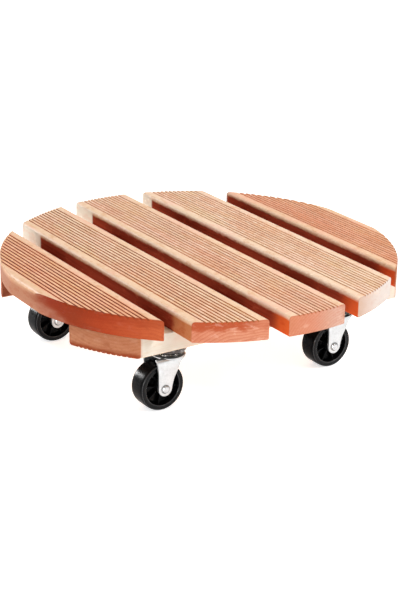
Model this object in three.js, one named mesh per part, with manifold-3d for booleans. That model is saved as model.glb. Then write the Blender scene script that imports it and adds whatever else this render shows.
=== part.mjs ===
// Round plant pot caddy: five ribbed timber slats screwed across two ribbed timber battens, all cut to one
// circle, on four small plate casters with one-piece plastic wheels. Millimetres, +Z up. The origin is on the
// floor under the middle of the deck; the slats run along X and the battens along Y.
import * as THREE from "three";
import { mergeVertices } from "three/addons/utils/BufferGeometryUtils.js";
import Module from "manifold-3d";

const wasm = await Module();
wasm.setup();

// ---- driving dimensions ----
const DECK_R = 175; // radius that the deck and the battens are cut to
const DECK_SIDES = 96; // facets round the whole rim
const HEIGHT = 95; // floor to the top of the deck
const BOARD_W = 56; // one ribbed board, used for slats and battens alike
const BOARD_T = 17.5;
const BOARD_ARRIS = 2.2; // rounding of the two long edges of the ribbed face
const BOARD_CHAMFER = 0.8; // easing of the two long edges of the plain face
const GROOVES = 11;
const GROOVE_PITCH = 3.8;
const GROOVE_TOP = 1.7; // groove width at the face
const GROOVE_FLOOR = 0.7; // groove width at its floor
const GROOVE_DEPTH = 1.3;
const SLAT_PITCH = 72.8; // centre to centre, which leaves 16.8 mm gaps
const BATTEN_X = 88; // centre line of each batten

const SLAT_BOTTOM = HEIGHT - BOARD_T; // 77.5
const BATTEN_BOTTOM = SLAT_BOTTOM - BOARD_T; // 60, which is the caster's height

const PIN_FRONT_Y = 87.5; // swivel axes on the front batten
const PIN_REAR_Y = 91.5; // swivel axes on the rear batten
const TRAIL = 10; // swivel axis to axle

const PLATE = 42; // square caster plate
const PLATE_T = 2;
const PLATE_CORNER = 4;
const PLATE_HOLE = 2.3;
const HOLE_OFFSET = 15; // hole to swivel axis, each way
const DISH_R = 16.6; // pressed seat under the plate, at the plate
const DISH_FOOT_R = 15.7;
const DISH_BOTTOM = 51.2;
const SHEET = 1.8;

const PIN_R = 4; // king pin shank
const PIN_HOLE = 4.4;
const RACE_R = 12.2; // circle of the balls, which stays inside the fork's round head
const BALL_R = 1.7;
const BALLS = 8;
const RACE_Z = 49.2;

const FORK_HALF = 12.6; // outside of a fork leg from the middle of the wheel
const FORK_T = 1.8;
const CROWN_TOP = 47.2;
const CROWN_R = 14.2; // round head of the fork, under the balls
const WHEEL_R = 20.5;
const WHEEL_HALF = 8.75;
const WHEEL_SIDES = 24;
const HUB_HALF = 10.4;
const HUB_R = 6.2;
const BORE_R = 3.35;
const AXLE_R = 3;
const SPOKES = 8;

// ---- helpers ----
function solid(geometry) {
  const g = geometry.index ? geometry.toNonIndexed() : geometry.clone();
  const bare = new THREE.BufferGeometry().setAttribute("position", g.getAttribute("position"));
  const merged = mergeVertices(bare, 1e-4);
  const tri = merged.index.array;
  const kept = [];
  for (let i = 0; i < tri.length; i += 3) {
    const [a, b, c] = [tri[i], tri[i + 1], tri[i + 2]];
    if (a !== b && b !== c && c !== a) kept.push(a, b, c);
  }
  const make = (t) =>
    new wasm.Manifold(
      new wasm.Mesh({
        numProp: 3,
        vertProperties: new Float32Array(merged.attributes.position.array),
        triVerts: new Uint32Array(t),
      }),
    );
  const made = make(kept);
  if (made.volume() > 0) return made;
  for (let i = 0; i < kept.length; i += 3) [kept[i + 1], kept[i + 2]] = [kept[i + 2], kept[i + 1]];
  return make(kept);
}

function geometryOf(body) {
  const m = body.getMesh();
  const n = m.numProp;
  const v = new Float32Array(m.numVert * 3);
  for (let i = 0; i < m.numVert; i++) v.set(m.vertProperties.subarray(i * n, i * n + 3), i * 3);
  const g = new THREE.BufferGeometry()
    .setAttribute("position", new THREE.BufferAttribute(v, 3))
    .setIndex(new THREE.BufferAttribute(new Uint32Array(m.triVerts), 1));
  g.computeVertexNormals();
  return g;
}

const shapeOf = (points) => new THREE.Shape(points.map(([x, y]) => new THREE.Vector2(x, y)));
const extrude = (shape, depth) =>
  new THREE.ExtrudeGeometry(shape, { depth, bevelEnabled: false, curveSegments: 6 });

// points are (y, z); the prism runs along X from x0 to x1
function prismX(points, x0, x1) {
  const g = extrude(shapeOf(points), x1 - x0);
  g.applyMatrix4(new THREE.Matrix4().makeBasis(new THREE.Vector3(0, 1, 0), new THREE.Vector3(0, 0, 1), new THREE.Vector3(1, 0, 0)));
  g.translate(x0, 0, 0);
  return solid(g);
}
// points are (x, z); the prism runs along Y from y0 to y1
function prismY(points, y0, y1) {
  const g = extrude(shapeOf(points), y1 - y0);
  g.rotateX(Math.PI / 2);
  g.translate(0, y1, 0);
  return solid(g);
}
// points are (x, y); the prism runs along Z from z0 to z1
function prismZ(points, z0, z1) {
  const g = extrude(shapeOf(points), z1 - z0);
  g.translate(0, 0, z0);
  return solid(g);
}
// profile is (radius, height) points about the Z axis
function turnedZ(profile, sides) {
  const g = new THREE.LatheGeometry(profile.map(([r, h]) => new THREE.Vector2(r, h)), sides);
  g.rotateX(Math.PI / 2);
  return solid(g);
}
// profile is (radius, distance along X) points about the X axis; a flat facet faces down
function turnedX(profile, sides) {
  const g = new THREE.LatheGeometry(profile.map(([r, h]) => new THREE.Vector2(r, h)), sides);
  g.rotateY(Math.PI / sides);
  g.rotateZ(-Math.PI / 2);
  return solid(g);
}
const rodZ = (r, z0, z1, sides) => turnedZ([[0, z0], [r, z0], [r, z1], [0, z1]], sides);

function roundedRectangle(halfX, halfY, r, steps) {
  const pts = [];
  for (const [sx, sy, a0] of [[1, 1, 0], [-1, 1, 90], [-1, -1, 180], [1, -1, 270]])
    for (let k = 0; k <= steps; k++) {
      const a = ((a0 + (90 * k) / steps) * Math.PI) / 180;
      pts.push([sx * (halfX - r) + r * Math.cos(a), sy * (halfY - r) + r * Math.sin(a)]);
    }
  return pts;
}

const material = (color, roughness, metalness) => new THREE.MeshStandardMaterial({ color, roughness, metalness });
const TIMBER = material(0xd9a27c, 0.65, 0);
const TIMBER_DARK = material(0xcf9069, 0.68, 0);
const ZINC = material(0xd6d8da, 0.32, 1);
const STEEL = material(0xb9bbbd, 0.35, 1);
const BLACK = material(0x0b0b0d, 0.22, 0);

function mesh(name, body, mat) {
  const m = new THREE.Mesh(geometryOf(body), mat);
  m.name = name;
  return m;
}

// ---- ribbed board ----
// (across, up) outline with the grooves in the upper face and the middle of the plain face at 0, 0
function boardOutline() {
  const w = BOARD_W / 2;
  const t = BOARD_T;
  const c = BOARD_CHAMFER;
  const pts = [[-w + c, 0], [w - c, 0], [w, c]];
  const arc = (cx, cy, from, to) => {
    for (let k = 0; k <= 3; k++) {
      const a = ((from + ((to - from) * k) / 3) * Math.PI) / 180;
      pts.push([cx + BOARD_ARRIS * Math.cos(a), cy + BOARD_ARRIS * Math.sin(a)]);
    }
  };
  arc(w - BOARD_ARRIS, t - BOARD_ARRIS, 0, 90);
  for (let i = GROOVES - 1; i >= 0; i--) {
    const y = (i - (GROOVES - 1) / 2) * GROOVE_PITCH;
    pts.push([y + GROOVE_TOP / 2, t], [y + GROOVE_FLOOR / 2, t - GROOVE_DEPTH], [y - GROOVE_FLOOR / 2, t - GROOVE_DEPTH], [y - GROOVE_TOP / 2, t]);
  }
  arc(-w + BOARD_ARRIS, t - BOARD_ARRIS, 90, 180);
  pts.push([-w, c]);
  return pts;
}

const rim = rodZ(DECK_R, -50, 150, DECK_SIDES);

// ---- fasteners ----
const slatScrewY = [-132, -59, 0, 59, 132]; // one screw through each batten into each slat
const SLAT_SCREW_TOP = 88;
const slatScrew = turnedZ(
  [[0, 60.5], [3.9, 60.5], [3.9, 61.0], [1.9, 63.0], [1.9, 84.5], [0, SLAT_SCREW_TOP]],
  8,
);
const slatScrewHole = turnedZ([[0, 58], [4.5, 58], [4.5, 61.2], [2.4, 63.4], [2.4, SLAT_SCREW_TOP + 0.6], [0, SLAT_SCREW_TOP + 0.6]], 8);
const plateScrew = turnedZ(
  [[0, 55.7], [2.4, 55.7], [3.7, 56.4], [3.7, 57.7], [1.8, 57.7], [1.8, 70], [0, 73]],
  8,
);
const plateScrewHole = turnedZ([[0, 58], [2.3, 58], [2.3, 73.6], [0, 73.6]], 8);

const plateHoles = [[1, 1], [-1, 1], [-1, -1], [1, -1]].map(([x, y]) => [x * HOLE_OFFSET, y * HOLE_OFFSET]);

// ---- caster, about its own swivel axis, with the wheel trailing towards -Y ----
const axleY = -TRAIL;

function casterPlate() {
  let flat = prismZ(roundedRectangle(PLATE / 2, PLATE / 2, PLATE_CORNER, 2), BATTEN_BOTTOM - PLATE_T, BATTEN_BOTTOM);
  flat = flat.subtract(rodZ(DISH_R - SHEET, 50, 70, 20));
  for (const [x, y] of plateHoles) flat = flat.subtract(rodZ(PLATE_HOLE, 50, 70, 8).translate([x, y, 0]));
  const z = BATTEN_BOTTOM;
  const dish = turnedZ(
    [
      [PIN_HOLE, DISH_BOTTOM], [DISH_FOOT_R, DISH_BOTTOM], [DISH_R, z - PLATE_T],
      [DISH_R, z], [DISH_R - SHEET, z], [DISH_FOOT_R - SHEET, DISH_BOTTOM + SHEET], [PIN_HOLE, DISH_BOTTOM + SHEET], [PIN_HOLE, DISH_BOTTOM],
    ],
    20,
  );
  return flat.add(dish);
}

function ballRing() {
  let ring = turnedZ(
    [
      [RACE_R - 0.9, RACE_Z - 0.5], [RACE_R + 0.9, RACE_Z - 0.5], [RACE_R + 0.9, RACE_Z + 0.5],
      [RACE_R - 0.9, RACE_Z + 0.5], [RACE_R - 0.9, RACE_Z - 0.5],
    ],
    24,
  );
  for (let k = 0; k < BALLS; k++) {
    const a = (2 * Math.PI * k) / BALLS;
    const ball = new THREE.SphereGeometry(BALL_R, 6, 4);
    ball.rotateX(Math.PI / 2);
    ball.translate(RACE_R * Math.cos(a), RACE_R * Math.sin(a), RACE_Z);
    ring = ring.add(solid(ball));
  }
  return ring;
}

function kingPin() {
  return turnedZ(
    [[0, 42.6], [4.4, 42.6], [6.2, 43.7], [6.2, 45], [PIN_R, 45], [PIN_R, 53.3], [6.6, 53.3], [6.6, 56.4], [0, 56.4]],
    16,
  );
}

function fork() {
  // side outline of a leg, (y, z): a round foot on the axle, a nearly upright rear edge and a front edge that
  // sweeps forward to the crown
  const foot = 6.2;
  const outline = [];
  outline.push([-18, CROWN_TOP], [-17.5, 44], [-16.8, 40], [-16.3, 34]);
  for (let k = 0; k <= 7; k++) {
    const a = ((180 + 10 + (160 * k) / 7) * Math.PI) / 180;
    outline.push([axleY + foot * Math.cos(a), WHEEL_R + foot * Math.sin(a)]);
  }
  outline.push([-3.3, 22.5], [-1.6, 28.5], [0.7, 33], [2.9, 37.8], [4.8, 42], [7.2, 44.2], [11.6, 46.2], [12.6, CROWN_TOP - 0.4], [12.6, CROWN_TOP]);
  const side = prismX(outline, -FORK_HALF, FORK_HALF);
  // front view, (x, z): an upside-down U with rounded bends
  const u = [];
  const bend = (cx, cz, r, from, to) => {
    for (let k = 0; k <= 3; k++) {
      const a = ((from + ((to - from) * k) / 3) * Math.PI) / 180;
      u.push([cx + r * Math.cos(a), cz + r * Math.sin(a)]);
    }
  };
  const ro = 3;
  const ri = ro - FORK_T;
  u.push([FORK_HALF, 0]);
  bend(FORK_HALF - ro, CROWN_TOP - ro, ro, 0, 90);
  bend(-FORK_HALF + ro, CROWN_TOP - ro, ro, 90, 180);
  u.push([-FORK_HALF, 0], [-FORK_HALF + FORK_T, 0]);
  bend(-FORK_HALF + ro, CROWN_TOP - ro, ri, 180, 90);
  bend(FORK_HALF - ro, CROWN_TOP - ro, ri, 90, 0);
  u.push([FORK_HALF - FORK_T, 0]);
  const front = prismY(u, -30, 30);
  // plan view: the two front corners of the crown are rounded, and it is cut away between the legs at the rear
  const corner = 7;
  const plan = [[-FORK_HALF, -21], [-9.4, -21], [-9.4, -14.5], [-6.5, -11.5], [6.5, -11.5], [9.4, -14.5], [9.4, -21], [FORK_HALF, -21]];
  for (const [side, from] of [[1, 0], [-1, 90]])
    for (let k = 0; k <= 3; k++) {
      const a = ((from + (90 * k) / 3) * Math.PI) / 180;
      plan.push([side * (FORK_HALF - corner) + corner * Math.cos(a), 12.6 - corner + corner * Math.sin(a)]);
    }
  let body = side.intersect(front).intersect(prismZ(plan, 0, 60));
  // round head under the balls
  const under = CROWN_TOP - FORK_T;
  body = body.add(turnedZ([[0, under], [CROWN_R - 0.7, under], [CROWN_R, under + 0.7], [CROWN_R, CROWN_TOP], [0, CROWN_TOP]], 24));
  body = body.subtract(rodZ(PIN_HOLE, 40, 60, 16));
  const cross = turnedX([[0, -20], [AXLE_R + 0.3, -20], [AXLE_R + 0.3, 20], [0, 20]], 12).translate([0, axleY, WHEEL_R]);
  return body.subtract(cross);
}

function axle() {
  const f = FORK_HALF + 0.3;
  return turnedX(
    [[0, -f - 1.3], [2.2, -f - 1.3], [3.9, -f], [AXLE_R, -f], [AXLE_R, f], [3.9, f], [2.2, f + 1.3], [0, f + 1.3]],
    12,
  ).translate([0, axleY, WHEEL_R]);
}

function wheel() {
  const k = 1 / Math.cos(Math.PI / WHEEL_SIDES); // the facets' flats, not their corners, are at the stated radius
  const h = WHEEL_HALF;
  const half = [
    [BORE_R, HUB_HALF], [HUB_R, HUB_HALF], [HUB_R, 2], [15.4, 2], [16.2, h], [19.5, h], [WHEEL_R * k, h - 1.1],
  ];
  const profile = [...half.map(([r, x]) => [r, x]), ...half.slice().reverse().map(([r, x]) => [r, -x])];
  profile.push(profile[0]);
  let body = turnedX(profile, WHEEL_SIDES);
  for (let i = 0; i < SPOKES; i++) {
    const rib = new THREE.BoxGeometry(2 * (h - 2.2), 1.5, 16 - (HUB_R - 0.6));
    rib.translate(0, 0, (16 + HUB_R - 0.6) / 2);
    rib.rotateX((2 * Math.PI * (i + 0.5)) / SPOKES);
    body = body.add(solid(rib));
  }
  return body.translate([0, axleY, WHEEL_R]);
}

const bodies = { plate: casterPlate(), ring: ballRing(), pin: kingPin(), fork: fork(), axle: axle(), wheel: wheel() };

const casters = [
  ["front_left", BATTEN_X, -PIN_FRONT_Y],
  ["front_right", BATTEN_X, PIN_FRONT_Y],
  ["rear_left", -BATTEN_X, -PIN_REAR_Y],
  ["rear_right", -BATTEN_X, PIN_REAR_Y],
];

// ---- assembly ----
const caddy = new THREE.Group();

// slats
const slatNames = ["slat_outer_left", "slat_inner_left", "slat_middle", "slat_inner_right", "slat_outer_right"];
const outline = boardOutline();
slatNames.forEach((name, i) => {
  const y = (i - 2) * SLAT_PITCH;
  let body = prismX(outline, -DECK_R - 5, DECK_R + 5).translate([0, y, SLAT_BOTTOM]).intersect(rim);
  for (const s of [1, -1]) body = body.subtract(slatScrewHole.translate([s * BATTEN_X, slatScrewY[i], 0]));
  const m = mesh(name, body.translate([0, -y, -SLAT_BOTTOM]), TIMBER);
  m.position.set(0, y, SLAT_BOTTOM);
  caddy.add(m);
});

// battens, with their ribbed face down
for (const [name, s, pinY] of [["batten_front", 1, PIN_FRONT_Y], ["batten_rear", -1, PIN_REAR_Y]]) {
  const upsideDown = outline.map(([x, z]) => [x, BOARD_T - z]).reverse();
  let body = prismY(upsideDown, -DECK_R - 5, DECK_R + 5).translate([s * BATTEN_X, 0, BATTEN_BOTTOM]).intersect(rim);
  for (const y of slatScrewY) body = body.subtract(slatScrewHole.translate([s * BATTEN_X, y, 0]));
  for (const t of [1, -1])
    for (const [x, y] of plateHoles) body = body.subtract(plateScrewHole.translate([s * BATTEN_X + x, t * pinY + y, 0]));
  const m = mesh(name, body.translate([-s * BATTEN_X, 0, -BATTEN_BOTTOM]), TIMBER_DARK);
  m.position.set(s * BATTEN_X, 0, BATTEN_BOTTOM);
  caddy.add(m);
}

// slat screws, driven up from below
for (const [label, s] of [["front", 1], ["rear", -1]])
  slatScrewY.forEach((y, i) => {
    const m = mesh(`slat_screw_${label}_${i + 1}`, slatScrew, STEEL);
    m.position.set(s * BATTEN_X, y, 0);
    caddy.add(m);
  });

for (const [name, x, y] of casters) {
  const caster = new THREE.Group();
  caster.position.set(x, y, 0);
  caster.add(mesh(`${name}_caster_plate`, bodies.plate, ZINC));
  caster.add(mesh(`${name}_king_pin`, bodies.pin, STEEL));
  caster.add(mesh(`${name}_ball_ring`, bodies.ring, STEEL));
  caster.add(mesh(`${name}_fork`, bodies.fork, ZINC));
  caster.add(mesh(`${name}_axle`, bodies.axle, STEEL));
  caster.add(mesh(`${name}_wheel`, bodies.wheel, BLACK));
  plateHoles.forEach(([hx, hy], i) => {
    const screw = mesh(`${name}_plate_screw_${i + 1}`, plateScrew, STEEL);
    screw.position.set(hx, hy, 0);
    caster.add(screw);
  });
  caddy.add(caster);
}

export default caddy;
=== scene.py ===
import math

import bmesh
import bpy
import numpy as np
from mathutils import Matrix, Vector


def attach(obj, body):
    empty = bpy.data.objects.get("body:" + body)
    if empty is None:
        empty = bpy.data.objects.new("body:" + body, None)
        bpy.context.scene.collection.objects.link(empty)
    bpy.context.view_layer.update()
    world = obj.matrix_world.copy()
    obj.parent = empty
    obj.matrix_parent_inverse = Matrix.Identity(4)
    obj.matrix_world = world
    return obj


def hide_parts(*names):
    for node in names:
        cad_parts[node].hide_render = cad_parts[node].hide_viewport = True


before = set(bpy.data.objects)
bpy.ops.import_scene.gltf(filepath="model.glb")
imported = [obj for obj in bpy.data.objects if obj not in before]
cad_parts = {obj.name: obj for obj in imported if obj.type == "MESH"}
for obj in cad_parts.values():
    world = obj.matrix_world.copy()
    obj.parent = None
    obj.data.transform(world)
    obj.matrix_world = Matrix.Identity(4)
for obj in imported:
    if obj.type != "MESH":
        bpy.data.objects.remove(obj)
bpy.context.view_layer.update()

rad = math.radians
MM = 0.001
scene = bpy.context.scene

# ------------------------------------------------------------------ sizes, millimetres
R = 175.0
PITCH, BATTEN_X = 72.8, 88.0
W, T = 56.0, 17.5
TOP = 95.0
SLAT_Z, BATTEN_Z = TOP - T, TOP - 2 * T
GROOVES, GPITCH, GDEPTH = 11, 3.8, 1.3
CASTERS = {
    "front_left": (88.0, -87.5), "front_right": (88.0, 87.5),
    "rear_left": (-88.0, -91.5), "rear_right": (-88.0, 91.5),
}
TRAIL = 10.0
AXLE_Z = 20.5
SLATS = ["slat_outer_left", "slat_inner_left", "slat_middle", "slat_inner_right", "slat_outer_right"]
SCREW_Y = [-132.0, -59.0, 0.0, 59.0, 132.0]


# ------------------------------------------------------------------ small helpers
def new_object(name, mesh):
    o = bpy.data.objects.new(name, mesh)
    scene.collection.objects.link(o)
    return o


def mesh_from(name, verts, faces, sharp=35, scale=MM):
    me = bpy.data.meshes.new(name)
    me.from_pydata([tuple(c * scale for c in v) for v in verts], [], faces)
    me.validate()
    bm = bmesh.new()
    bm.from_mesh(me)
    bmesh.ops.remove_doubles(bm, verts=bm.verts, dist=1e-7)
    bmesh.ops.recalc_face_normals(bm, faces=bm.faces)
    bm.to_mesh(me)
    bm.free()
    me.shade_smooth()
    if sharp:
        me.set_sharp_from_angle(angle=rad(sharp))
    return me


def lathe(profile, sides, axis="Z", closed=False):
    """Turns (radius, height) points about an axis; a point on the axis closes the end."""
    verts, faces, rings = [], [], []
    for r, h in profile:
        if r < 1e-6:
            verts.append((0, 0, h))
            rings.append([len(verts) - 1])
        else:
            ring = []
            for k in range(sides):
                a = 2 * math.pi * k / sides
                verts.append((r * math.cos(a), r * math.sin(a), h))
                ring.append(len(verts) - 1)
            rings.append(ring)
    pairs = list(zip(rings, rings[1:]))
    if closed:
        pairs.append((rings[-1], rings[0]))
    for a, b in pairs:
        for k in range(sides):
            k2 = (k + 1) % sides
            if len(a) == 1 and len(b) == 1:
                continue
            if len(a) == 1:
                faces.append((a[0], b[k], b[k2]))
            elif len(b) == 1:
                faces.append((a[k], b[0], a[k2]))
            else:
                faces.append((a[k], b[k], b[k2], a[k2]))
    if axis == "X":
        verts = [(z, x, y) for x, y, z in verts]
    return verts, faces


def arc(cx, cy, r, a0, a1, n):
    return [(cx + r * math.cos(rad(a0 + (a1 - a0) * k / n)), cy + r * math.sin(rad(a0 + (a1 - a0) * k / n))) for k in range(n + 1)]


def boolean(target, cutter, op):
    m = target.modifiers.new("b", "BOOLEAN")
    m.operation, m.object, m.solver = op, cutter, "EXACT"
    dg = bpy.context.evaluated_depsgraph_get()
    me = bpy.data.meshes.new_from_object(target.evaluated_get(dg))
    target.modifiers.clear()
    old = target.data
    target.data = me
    bpy.data.meshes.remove(old)
    bpy.data.objects.remove(cutter)


def bevelled(o, width, angle=38, segments=2):
    m = o.modifiers.new("edge", "BEVEL")
    m.width, m.segments, m.limit_method, m.angle_limit = width * MM, segments, "ANGLE", rad(angle)
    m.miter_outer = "MITER_ARC"
    m.use_clamp_overlap = True
    dg = bpy.context.evaluated_depsgraph_get()
    me = bpy.data.meshes.new_from_object(o.evaluated_get(dg))
    o.modifiers.clear()
    old = o.data
    o.data = me
    bpy.data.meshes.remove(old)
    me.shade_smooth()
    me.set_sharp_from_angle(angle=rad(44))
    return me


def lin(r, g, b, k=1.0):
    """Display colour 0..255 to a linear reflectance, times k."""
    def f(c):
        return c / 12.92 if c <= 0.04045 else ((c + 0.055) / 1.055) ** 2.4
    return tuple(min(0.93, f(c / 255) * k) for c in (r, g, b))


def tint(c, *k):
    k = k if len(k) == 3 else (k[0],) * 3
    return tuple(float(min(0.93, a * b)) for a, b in zip(c, k))


# ------------------------------------------------------------------ node helpers
class Nodes:
    def __init__(self, name):
        self.mat = bpy.data.materials.new(name)
        self.mat.use_nodes = True
        self.t = self.mat.node_tree
        self.t.nodes.clear()
        self.out = self.t.nodes.new("ShaderNodeOutputMaterial")

    def n(self, kind, **props):
        node = self.t.nodes.new("ShaderNode" + kind)
        for k, v in props.items():
            setattr(node, k, v)
        return node

    def put(self, sock, value):
        if isinstance(value, bpy.types.NodeSocket):
            self.t.links.new(value, sock)
        elif value is not None:
            if sock.type == "RGBA" and not hasattr(value, "__len__"):
                value = (value, value, value, 1)
            elif sock.type == "RGBA" and len(value) == 3:
                value = (*value, 1)
            sock.default_value = value

    def math(self, op, a, b=None, c=None, clamp=False):
        m = self.n("Math", operation=op, use_clamp=clamp)
        for s, v in zip(m.inputs, (a, b, c)):
            self.put(s, v)
        return m.outputs[0]

    def vmath(self, op, a, b=None):
        m = self.n("VectorMath", operation=op)
        self.put(m.inputs[0], a)
        if b is not None:
            self.put(m.inputs[1], b)
        return m.outputs["Value"] if op in ("LENGTH", "DISTANCE", "DOT_PRODUCT") else m.outputs[0]

    def xyz(self, v):
        s = self.n("SeparateXYZ")
        self.put(s.inputs[0], v)
        return s.outputs

    def combine(self, x, y, z):
        s = self.n("CombineXYZ")
        for a, b in zip(s.inputs, (x, y, z)):
            self.put(a, b)
        return s.outputs[0]

    def noise(self, v, scale, detail=3.0, rough=0.5, distort=0.0, dims="3D"):
        s = self.n("TexNoise", noise_dimensions=dims)
        self.put(s.inputs["Vector"], v)
        s.inputs["Scale"].default_value = scale
        s.inputs["Detail"].default_value = detail
        s.inputs["Roughness"].default_value = rough
        s.inputs["Distortion"].default_value = distort
        return s.outputs["Fac"]

    def voronoi(self, v, scale, feature="F1", randomness=1.0):
        s = self.n("TexVoronoi", feature=feature)
        self.put(s.inputs["Vector"], v)
        s.inputs["Scale"].default_value = scale
        s.inputs["Randomness"].default_value = randomness
        return s.outputs

    def ramp(self, f, stops, mode="LINEAR"):
        r = self.n("ValToRGB")
        r.color_ramp.interpolation = mode
        e = r.color_ramp.elements
        while len(e) > 1:
            e.remove(e[-1])
        for i, (p, c) in enumerate(stops):
            el = e[0] if i == 0 else e.new(p)
            el.position = p
            el.color = (*c, 1) if hasattr(c, "__len__") else (c, c, c, 1)
        self.put(r.inputs[0], f)
        return r.outputs[0]

    def remap(self, v, a, b, c, d, smooth=False):
        m = self.n("MapRange", interpolation_type="SMOOTHSTEP" if smooth else "LINEAR")
        self.put(m.inputs[0], v)
        for s, x in zip(m.inputs[1:5], (a, b, c, d)):
            self.put(s, x)
        return m.outputs[0]

    def mix(self, f, a, b, mode="MIX"):
        m = self.n("Mix", data_type="RGBA", blend_type=mode)
        m.clamp_factor = True
        self.put(m.inputs[0], f)
        self.put(m.inputs[6], a)
        self.put(m.inputs[7], b)
        return m.outputs[2]

    def attr(self, name):
        return self.n("Attribute", attribute_type="GEOMETRY", attribute_name=name).outputs["Fac"]

    def bump(self, height, strength, distance, normal=None):
        b = self.n("Bump")
        b.inputs["Strength"].default_value = strength
        b.inputs["Distance"].default_value = distance
        self.put(b.inputs["Height"], height)
        if normal is not None:
            self.put(b.inputs["Normal"], normal)
        return b.outputs[0]

    def principled(self, **inputs):
        p = self.n("BsdfPrincipled")
        for k, v in inputs.items():
            self.put(p.inputs[k.replace("_", " ")], v)
        self.t.links.new(p.outputs[0], self.out.inputs[0])
        return p


# ------------------------------------------------------------------ ribbed timber boards
def hermite(x):
    return x * x * (3 - 2 * x)


GROOVE_SHAPE = [(-1.12, 0.0), (-0.94, 0.04), (-0.80, 0.16), (-0.66, 0.46), (-0.52, 0.88), (-0.40, 1.16), (-0.22, 1.27),
                (0.0, 1.30), (0.22, 1.27), (0.40, 1.16), (0.52, 0.88), (0.66, 0.46), (0.80, 0.16), (0.94, 0.04), (1.12, 0.0)]


def board_columns():
    """Columns across the board: (b, top height, plain-face height, groove 0..1, arris 0..1)."""
    hw = W / 2
    cols = {}
    for i in range(GROOVES):
        c = (i - (GROOVES - 1) / 2) * GPITCH
        for d, h in GROOVE_SHAPE:
            cols[round(c + d, 4)] = (T - h, h / GDEPTH, 0.0)
        cols[round(c + GPITCH / 2, 4)] = (T, 0.0, 0.0)
    r = 2.6
    for k in range(9):
        a = rad(90 * k / 8)
        b = hw - r + r * math.sin(a)
        for s in (1, -1):
            cols[round(s * b, 4)] = (T - r + r * math.cos(a), 0.0, k / 8)
    for s in (1, -1):
        cols[round(s * 23.2, 4)] = (T, 0.0, 0.0)
    out = []
    c = 0.9
    for b in sorted(cols):
        top, g, e = cols[b]
        inside = hw - abs(b)
        low = 0.0 if inside > c else c * (1 - math.sqrt(max(0.0, 1 - (1 - inside / c) ** 2)))
        out.append((b, top, min(low, c), g, e))
    return out


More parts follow.
